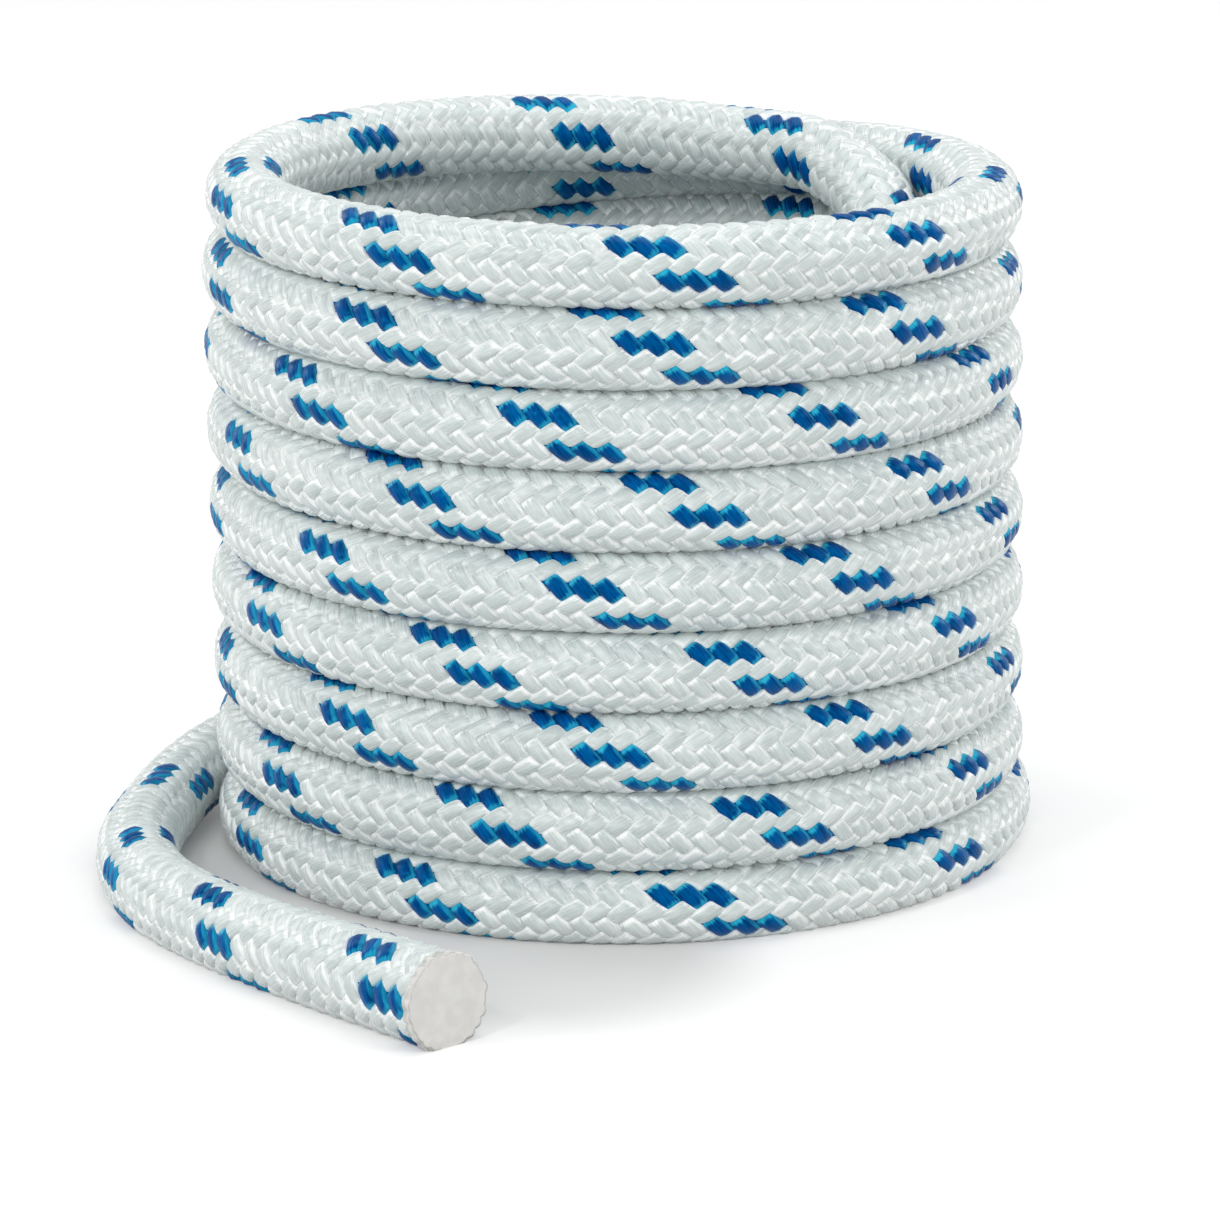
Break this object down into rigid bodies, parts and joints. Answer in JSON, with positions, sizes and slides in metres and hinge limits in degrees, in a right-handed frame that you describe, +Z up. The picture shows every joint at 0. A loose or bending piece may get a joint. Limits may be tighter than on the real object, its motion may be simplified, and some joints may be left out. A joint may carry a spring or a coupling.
{
  "type": "climbing rope",
  "caption": "Braided kernmantle rope standing in a round coil, one cut end lying free beside it and the other tucked down inside.",
  "frame": {"origin": "on the surface that the rope rests on, under the middle of the box round the whole rope", "axes": "+Z up along the coil's axis, -Y towards the side where the free tail lies, +X to the right seen from there"},
  "size_m": [0.1251, 0.1625, 0.094],
  "materials": {
    "rope_sheath": "satin white filament braid with three neighbouring blue tracer strands",
    "rope_core": "undyed filament strands",
    "fused_end": "melted and pressed filament, slightly lumpy, grey at its rim"
  },
  "bodies": {
    "root": {"coil_sheath": "rope_sheath", "coil_core": "rope_core", "tail_sheath": "rope_sheath", "tail_core": "rope_core", "tail_fused_end": "fused_end", "inner_end_sheath": "rope_sheath", "inner_end_core": "rope_core", "inner_fused_end": "fused_end"}
  },
  "joints": []
}
